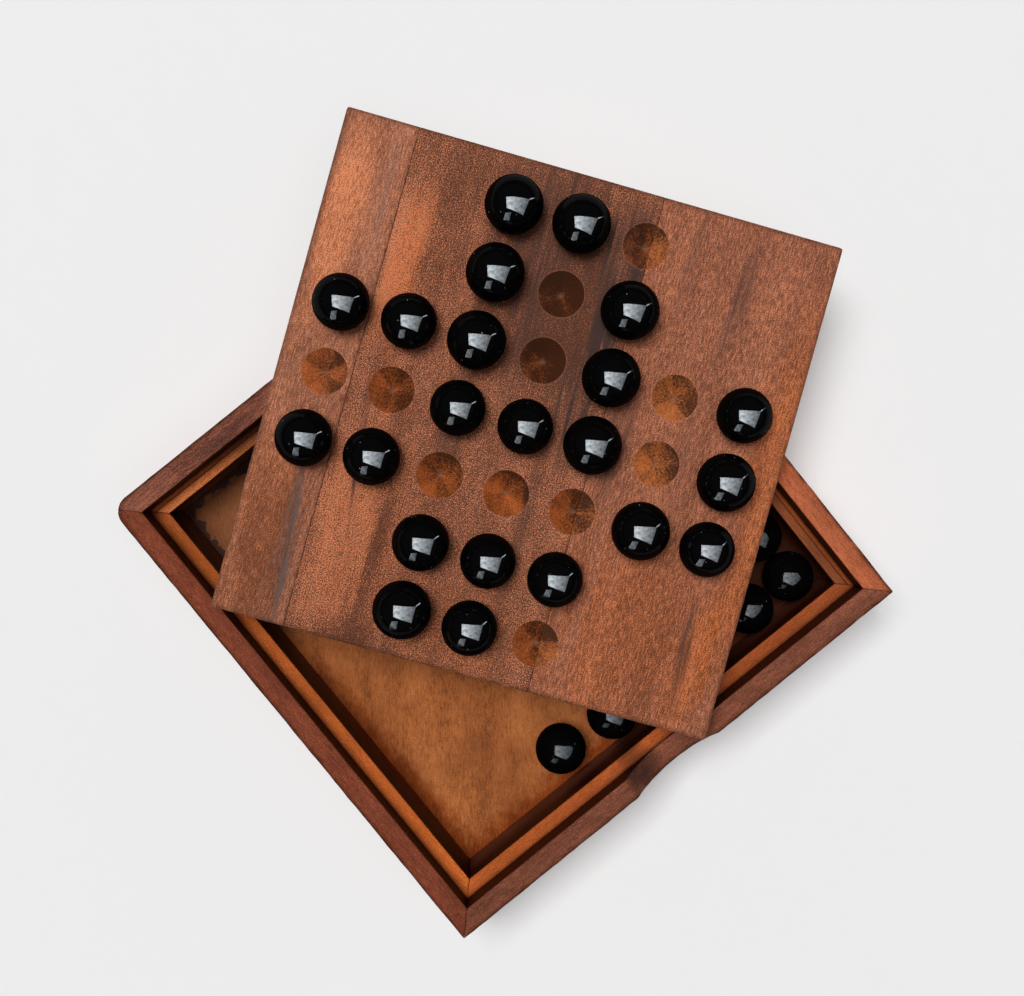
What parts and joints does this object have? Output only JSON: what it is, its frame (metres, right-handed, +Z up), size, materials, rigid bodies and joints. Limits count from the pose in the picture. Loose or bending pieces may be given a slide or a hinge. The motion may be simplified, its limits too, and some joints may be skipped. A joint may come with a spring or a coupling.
{
  "type": "marble solitaire game",
  "caption": "Square wooden solitaire board with cups for glass marbles; the board doubles as the lid of a mitred box with a recess, a thumb notch and room for the spare marbles.",
  "frame": {"origin": "middle of the box's underside", "axes": "+Z up, +X along the front rail to the right, -Y out through the rail with the thumb notch"},
  "size_m": [0.2152, 0.2121, 0.0582],
  "materials": {
    "rail_wood": "satin oiled red-brown hardwood",
    "panel_wood": "satin stained plywood",
    "board_wood": "satin oiled red-brown hardwood",
    "marble_glass": "glossy opaque black"
  },
  "bodies": {
    "box": {"rail_front": "rail_wood", "rail_right": "rail_wood", "rail_back": "rail_wood", "rail_left": "rail_wood", "base_panel": "panel_wood"},
    "board": {"plank_left": "board_wood", "plank_middle": "board_wood", "plank_right": "board_wood"},
    "marble_r1_c3": {"marble_r1_c3": "marble_glass"},
    "marble_r1_c4": {"marble_r1_c4": "marble_glass"},
    "marble_r2_c3": {"marble_r2_c3": "marble_glass"},
    "marble_r2_c5": {"marble_r2_c5": "marble_glass"},
    "marble_r3_c1": {"marble_r3_c1": "marble_glass"},
    "marble_r3_c2": {"marble_r3_c2": "marble_glass"},
    "marble_r3_c3": {"marble_r3_c3": "marble_glass"},
    "marble_r3_c5": {"marble_r3_c5": "marble_glass"},
    "marble_r3_c7": {"marble_r3_c7": "marble_glass"},
    "marble_r4_c3": {"marble_r4_c3": "marble_glass"},
    "marble_r4_c4": {"marble_r4_c4": "marble_glass"},
    "marble_r4_c5": {"marble_r4_c5": "marble_glass"},
    "marble_r4_c7": {"marble_r4_c7": "marble_glass"},
    "marble_r5_c1": {"marble_r5_c1": "marble_glass"},
    "marble_r5_c2": {"marble_r5_c2": "marble_glass"},
    "marble_r5_c6": {"marble_r5_c6": "marble_glass"},
    "marble_r5_c7": {"marble_r5_c7": "marble_glass"},
    "marble_r6_c3": {"marble_r6_c3": "marble_glass"},
    "marble_r6_c4": {"marble_r6_c4": "marble_glass"},
    "marble_r6_c5": {"marble_r6_c5": "marble_glass"},
    "marble_r7_c3": {"marble_r7_c3": "marble_glass"},
    "marble_r7_c4": {"marble_r7_c4": "marble_glass"},
    "marble_loose_01": {"marble_loose_01": "marble_glass"},
    "marble_loose_02": {"marble_loose_02": "marble_glass"},
    "marble_loose_03": {"marble_loose_03": "marble_glass"},
    "marble_loose_04": {"marble_loose_04": "marble_glass"},
    "marble_loose_05": {"marble_loose_05": "marble_glass"},
    "marble_loose_06": {"marble_loose_06": "marble_glass"},
    "marble_loose_07": {"marble_loose_07": "marble_glass"},
    "marble_loose_08": {"marble_loose_08": "marble_glass"},
    "marble_loose_09": {"marble_loose_09": "marble_glass"},
    "marble_loose_10": {"marble_loose_10": "marble_glass"}
  },
  "joints": [
    {"name": "board_lift", "type": "slide", "parent": "box", "child": "board", "axis": [0, 0, 1], "range_m": [0, 0.06]},
    {"name": "lift_r1_c3", "type": "slide", "parent": "board", "child": "marble_r1_c3", "axis": [0, 0, 1], "range_m": [0, 0.03]},
    {"name": "lift_r1_c4", "type": "slide", "parent": "board", "child": "marble_r1_c4", "axis": [0, 0, 1], "range_m": [0, 0.03]},
    {"name": "lift_r2_c3", "type": "slide", "parent": "board", "child": "marble_r2_c3", "axis": [0, 0, 1], "range_m": [0, 0.03]},
    {"name": "lift_r2_c5", "type": "slide", "parent": "board", "child": "marble_r2_c5", "axis": [0, 0, 1], "range_m": [0, 0.03]},
    {"name": "lift_r3_c1", "type": "slide", "parent": "board", "child": "marble_r3_c1", "axis": [0, 0, 1], "range_m": [0, 0.03]},
    {"name": "lift_r3_c2", "type": "slide", "parent": "board", "child": "marble_r3_c2", "axis": [0, 0, 1], "range_m": [0, 0.03]},
    {"name": "lift_r3_c3", "type": "slide", "parent": "board", "child": "marble_r3_c3", "axis": [0, 0, 1], "range_m": [0, 0.03]},
    {"name": "lift_r3_c5", "type": "slide", "parent": "board", "child": "marble_r3_c5", "axis": [0, 0, 1], "range_m": [0, 0.03]},
    {"name": "lift_r3_c7", "type": "slide", "parent": "board", "child": "marble_r3_c7", "axis": [0, 0, 1], "range_m": [0, 0.03]},
    {"name": "lift_r4_c3", "type": "slide", "parent": "board", "child": "marble_r4_c3", "axis": [0, 0, 1], "range_m": [0, 0.03]},
    {"name": "lift_r4_c4", "type": "slide", "parent": "board", "child": "marble_r4_c4", "axis": [0, 0, 1], "range_m": [0, 0.03]},
    {"name": "lift_r4_c5", "type": "slide", "parent": "board", "child": "marble_r4_c5", "axis": [0, 0, 1], "range_m": [0, 0.03]},
    {"name": "lift_r4_c7", "type": "slide", "parent": "board", "child": "marble_r4_c7", "axis": [0, 0, 1], "range_m": [0, 0.03]},
    {"name": "lift_r5_c1", "type": "slide", "parent": "board", "child": "marble_r5_c1", "axis": [0, 0, 1], "range_m": [0, 0.03]},
    {"name": "lift_r5_c2", "type": "slide", "parent": "board", "child": "marble_r5_c2", "axis": [0, 0, 1], "range_m": [0, 0.03]},
    {"name": "lift_r5_c6", "type": "slide", "parent": "board", "child": "marble_r5_c6", "axis": [0, 0, 1], "range_m": [0, 0.03]},
    {"name": "lift_r5_c7", "type": "slide", "parent": "board", "child": "marble_r5_c7", "axis": [0, 0, 1], "range_m": [0, 0.03]},
    {"name": "lift_r6_c3", "type": "slide", "parent": "board", "child": "marble_r6_c3", "axis": [0, 0, 1], "range_m": [0, 0.03]},
    {"name": "lift_r6_c4", "type": "slide", "parent": "board", "child": "marble_r6_c4", "axis": [0, 0, 1], "range_m": [0, 0.03]},
    {"name": "lift_r6_c5", "type": "slide", "parent": "board", "child": "marble_r6_c5", "axis": [0, 0, 1], "range_m": [0, 0.03]},
    {"name": "lift_r7_c3", "type": "slide", "parent": "board", "child": "marble_r7_c3", "axis": [0, 0, 1], "range_m": [0, 0.03]},
    {"name": "lift_r7_c4", "type": "slide", "parent": "board", "child": "marble_r7_c4", "axis": [0, 0, 1], "range_m": [0, 0.03]},
    {"name": "lift_loose_01", "type": "slide", "parent": "box", "child": "marble_loose_01", "axis": [0, 0, 1], "range_m": [0, 0.06]},
    {"name": "lift_loose_02", "type": "slide", "parent": "box", "child": "marble_loose_02", "axis": [0, 0, 1], "range_m": [0, 0.06]},
    {"name": "lift_loose_03", "type": "slide", "parent": "box", "child": "marble_loose_03", "axis": [0, 0, 1], "range_m": [0, 0.014]},
    {"name": "lift_loose_04", "type": "slide", "parent": "box", "child": "marble_loose_04", "axis": [0, 0, 1], "range_m": [0, 0.014]},
    {"name": "lift_loose_05", "type": "slide", "parent": "box", "child": "marble_loose_05", "axis": [0, 0, 1], "range_m": [0, 0.06]},
    {"name": "lift_loose_06", "type": "slide", "parent": "box", "child": "marble_loose_06", "axis": [0, 0, 1], "range_m": [0, 0.014]},
    {"name": "lift_loose_07", "type": "slide", "parent": "box", "child": "marble_loose_07", "axis": [0, 0, 1], "range_m": [0, 0.014]},
    {"name": "lift_loose_08", "type": "slide", "parent": "box", "child": "marble_loose_08", "axis": [0, 0, 1], "range_m": [0, 0.014]},
    {"name": "lift_loose_09", "type": "slide", "parent": "box", "child": "marble_loose_09", "axis": [0, 0, 1], "range_m": [0, 0.014]},
    {"name": "lift_loose_10", "type": "slide", "parent": "box", "child": "marble_loose_10", "axis": [0, 0, 1], "range_m": [0, 0.014]}
  ]
}
